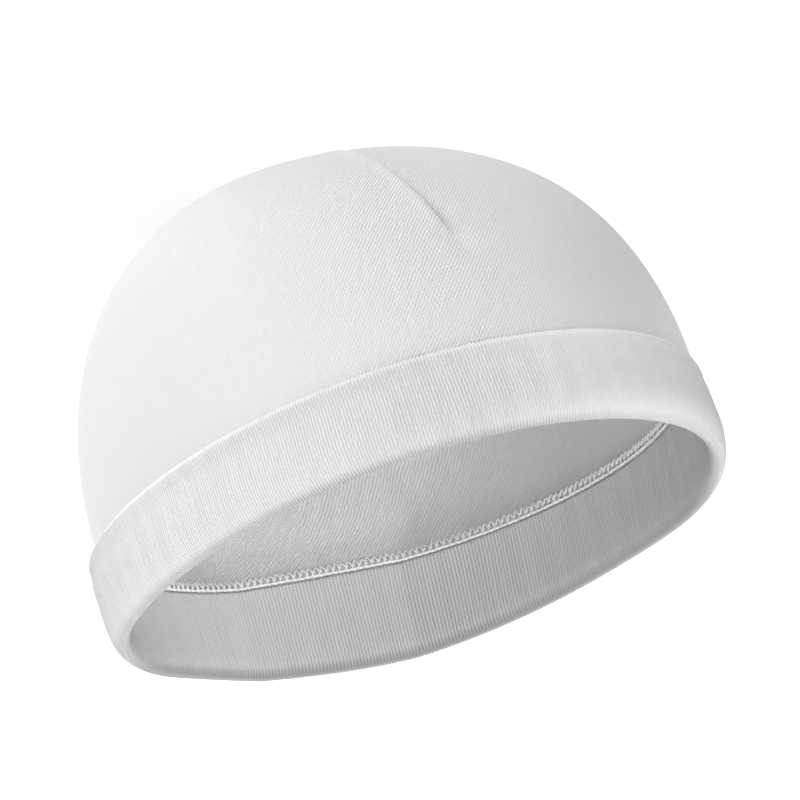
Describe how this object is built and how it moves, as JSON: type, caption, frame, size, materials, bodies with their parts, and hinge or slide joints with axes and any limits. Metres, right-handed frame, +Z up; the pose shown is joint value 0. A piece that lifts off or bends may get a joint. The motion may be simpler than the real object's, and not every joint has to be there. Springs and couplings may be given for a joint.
{
  "type": "knit skull cap",
  "caption": "Close-fitting knit cap with a folded ribbed band and a front-to-back crown seam, open below, lying on its back.",
  "frame": {"origin": "middle of the cap on the surface that it lies on, under the middle of its bounding box", "axes": "+Z up, with the cap on its back and its front on top; -Y towards the open mouth, +Y towards the crown's top; X across the head, left and right alike"},
  "size_m": [0.1678, 0.1198, 0.1942],
  "materials": {
    "crown_knit": "matte fine jersey knit, white",
    "rib_knit": "matte 1x1 rib knit, white",
    "seam_thread": "soft sewing thread, white"
  },
  "bodies": {
    "root": {"crown": "crown_knit", "band": "rib_knit", "overlock_seam": "seam_thread", "crown_seam_allowance": "seam_thread"}
  },
  "joints": []
}
